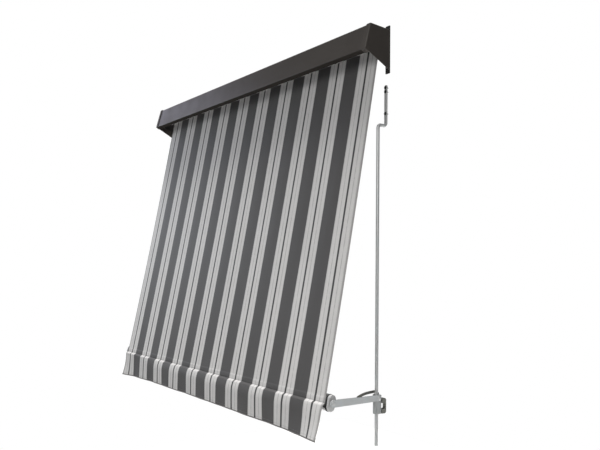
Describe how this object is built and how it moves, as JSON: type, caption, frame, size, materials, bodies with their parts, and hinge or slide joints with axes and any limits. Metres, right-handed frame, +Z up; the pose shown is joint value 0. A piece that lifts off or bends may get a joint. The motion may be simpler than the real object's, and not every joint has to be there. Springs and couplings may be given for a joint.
{
  "type": "window awning",
  "caption": "Hooded window awning with striped fabric on a spring roller, a front bar with a valance, and folding arms that slide on wall-mounted guide rods.",
  "frame": {"origin": "centre of the hood's rear flange, on the wall plane", "axes": "+X along the wall, to the right as seen from outside; +Y into the wall; +Z up"},
  "size_m": [1.8, 0.3095, 1.527],
  "materials": {
    "hood_paint": "satin powder coat",
    "black_paint": "satin powder coat",
    "zinc_steel": "zinc plated",
    "aluminium": "mill finish",
    "dark_steel": "dark coated",
    "black_plastic": "matte",
    "grey_casting": "grey coated casting",
    "striped_fabric": "woven, striped",
    "spring_steel": "bright wire",
    "dark_screws": "black finish"
  },
  "bodies": {
    "frame": {"hood_cover": "hood_paint", "end_cap_left": "hood_paint", "end_cap_right": "hood_paint", "wall_bracket_left": "black_paint", "wall_bracket_right": "black_paint", "hood_screw_left": "dark_screws", "hood_screw_right": "dark_screws", "guide_rod_left": "zinc_steel", "guide_rod_right": "zinc_steel", "spring_shaft": "zinc_steel", "canopy": "striped_fabric", "wall_screw_left_upper": "dark_screws", "wall_screw_left_lower": "dark_screws", "wall_screw_right_upper": "dark_screws", "wall_screw_right_lower": "dark_screws", "rod_screw_left_upper": "dark_screws", "rod_screw_left_lower": "dark_screws", "rod_screw_right_upper": "dark_screws", "rod_screw_right_lower": "dark_screws", "rod_screw_left_top": "dark_screws", "rod_screw_right_top": "dark_screws"},
    "roller": {"roller_tube": "zinc_steel", "roller_plug_left": "black_plastic", "roller_plug_right": "black_plastic", "fabric_roll": "striped_fabric", "torsion_spring": "spring_steel", "spring_carrier": "black_plastic"},
    "front_bar": {"front_bar": "aluminium", "keder_rod": "black_plastic", "valance": "striped_fabric", "bar_end_plug_left": "black_plastic", "bar_end_plug_right": "black_plastic", "knuckle_left": "grey_casting", "knuckle_right": "grey_casting", "front_pin_left": "zinc_steel", "front_pin_right": "zinc_steel"},
    "slider_left": {"slider_left": "zinc_steel", "slider_yoke_left": "dark_steel", "lever_pin_left": "zinc_steel", "lever_spring_left": "spring_steel", "arm_rivet_left": "zinc_steel"},
    "lever_left": {"release_lever_left": "dark_steel"},
    "arm_left": {"arm_left": "zinc_steel"},
    "slider_right": {"slider_right": "zinc_steel", "slider_yoke_right": "dark_steel", "lever_pin_right": "zinc_steel", "lever_spring_right": "spring_steel", "arm_rivet_right": "zinc_steel"},
    "lever_right": {"release_lever_right": "dark_steel"},
    "arm_right": {"arm_right": "zinc_steel"}
  },
  "joints": [
    {"name": "slide_right", "type": "slide", "parent": "frame", "child": "slider_right", "axis": [0, 0, 1], "range_m": [0, 0.93], "deforming": ["canopy"]},
    {"name": "slide_left", "type": "slide", "parent": "frame", "child": "slider_left", "axis": [0, 0, 1], "range_m": [0, 0.93]},
    {"name": "arm_fold_right", "type": "hinge", "parent": "slider_right", "child": "arm_right", "pos_m": [0.8935, -0.0403, -1.3209], "axis": [-1, 0, 0], "range_deg": [0, 78]},
    {"name": "arm_fold_left", "type": "hinge", "parent": "slider_left", "child": "arm_left", "pos_m": [-0.8935, -0.0403, -1.3209], "axis": [-1, 0, 0], "range_deg": [0, 78]},
    {"name": "bar_level", "type": "hinge", "parent": "arm_right", "child": "front_bar", "pos_m": [0.8935, -0.2468, -1.3206], "axis": [1, 0, 0], "range_deg": [0, 78]},
    {"name": "roller_turn", "type": "hinge", "parent": "frame", "child": "roller", "pos_m": [0, -0.047, -0.03], "axis": [1, 0, 0], "range_deg": [0, 2650]},
    {"name": "release_right", "type": "hinge", "parent": "slider_right", "child": "lever_right", "pos_m": [0.866, -0.031, -1.3179], "axis": [-1, 0, 0], "range_deg": [0, 12], "stiffness_Nm_per_rad": 0.3, "springref_deg": -8.59},
    {"name": "release_left", "type": "hinge", "parent": "slider_left", "child": "lever_left", "pos_m": [-0.866, -0.031, -1.3179], "axis": [-1, 0, 0], "range_deg": [0, 12], "stiffness_Nm_per_rad": 0.3, "springref_deg": -8.59}
  ],
  "couplings": [
    {"joint": "slide_left", "follows": "slide_right", "ratio": 1},
    {"joint": "arm_fold_right", "follows": "slide_right", "rad_per_m": 1.4638},
    {"joint": "arm_fold_left", "follows": "slide_right", "rad_per_m": 1.4638},
    {"joint": "bar_level", "follows": "slide_right", "rad_per_m": 1.4638},
    {"joint": "roller_turn", "follows": "slide_right", "rad_per_m": 49.667}
  ]
}
